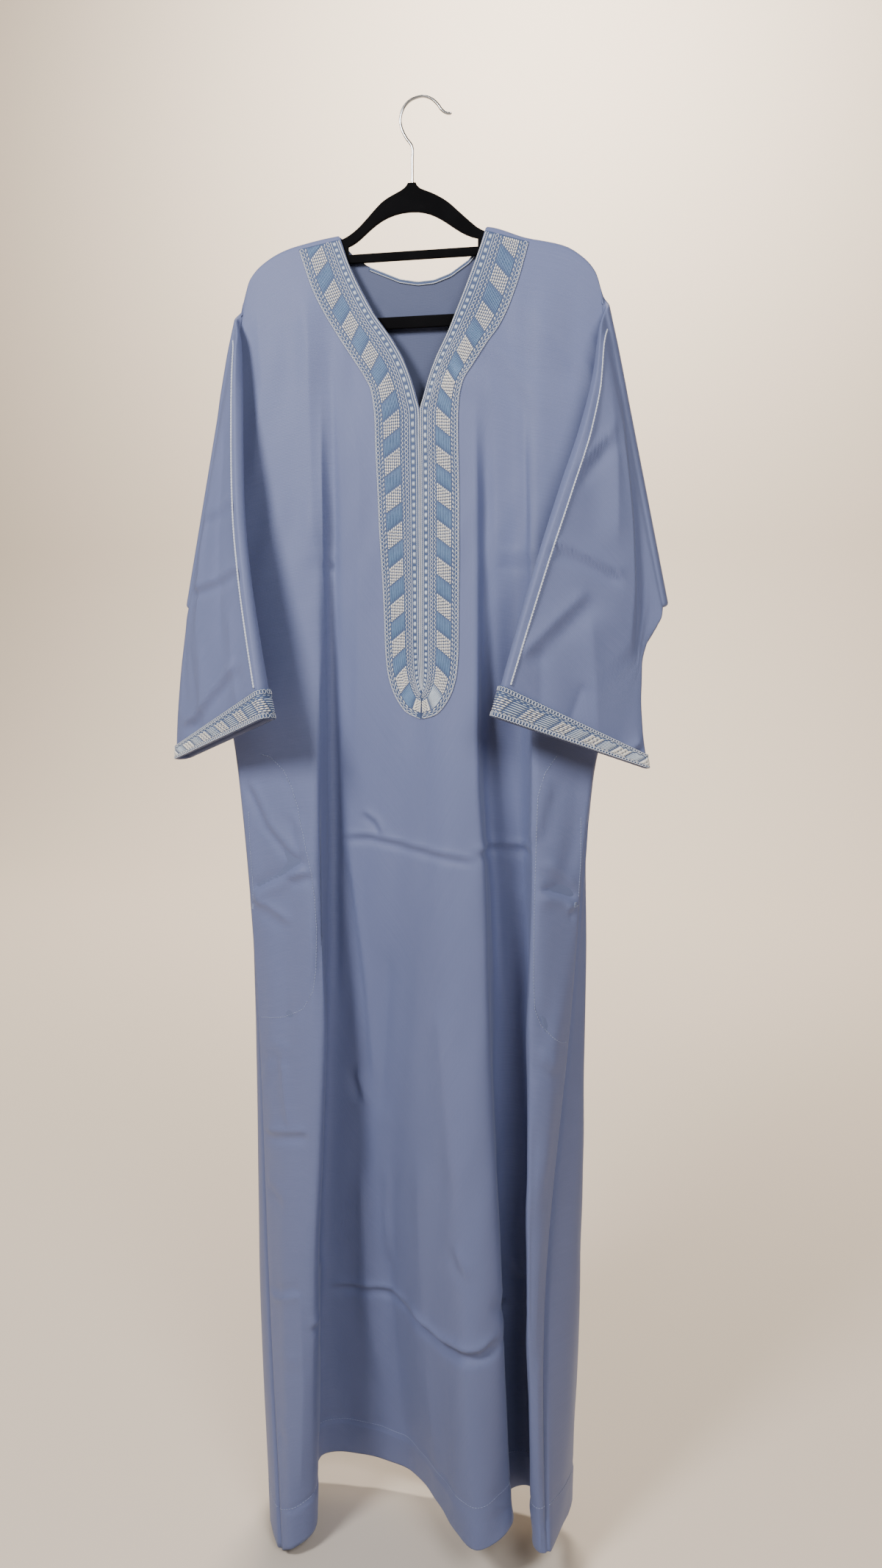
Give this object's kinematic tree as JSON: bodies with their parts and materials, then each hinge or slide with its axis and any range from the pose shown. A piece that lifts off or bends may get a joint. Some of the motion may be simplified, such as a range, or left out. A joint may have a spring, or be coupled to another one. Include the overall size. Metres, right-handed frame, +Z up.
{
  "type": "thobe on a clothes hanger",
  "caption": "Long light-blue thobe with an embroidered V neck and chest band, wide trimmed sleeves and deep hem folds, hung flat on a slim black hanger.",
  "frame": {"origin": "inside top of the hanger's hook, where it rests on a peg", "axes": "+Z up, front of the garment towards -Y, +X to the right of someone looking at the front"},
  "size_m": [0.5939, 0.1589, 1.7061],
  "materials": {
    "cloth": "light blue woven cloth, slightly satiny, with fine cross lines",
    "embroidery": "thread embroidery in off-white, pale blue and mid blue blocks",
    "cord": "silver-grey braided cord",
    "hanger_flock": "black flocked plastic",
    "hook_chrome": "bright chromed wire"
  },
  "bodies": {
    "root": {"front_panel": "cloth", "back_panel": "cloth", "sleeve_left": "cloth", "sleeve_right": "cloth", "neck_band_left": "embroidery", "neck_band_right": "embroidery", "back_neck_binding": "cord", "cuff_band_left": "embroidery", "cuff_band_right": "embroidery", "sleeve_cord_left": "cord", "sleeve_cord_right": "cord", "pocket_bag_left": "cloth", "pocket_bag_right": "cloth", "hanger_body": "hanger_flock", "hanger_hook": "hook_chrome"}
  },
  "joints": []
}
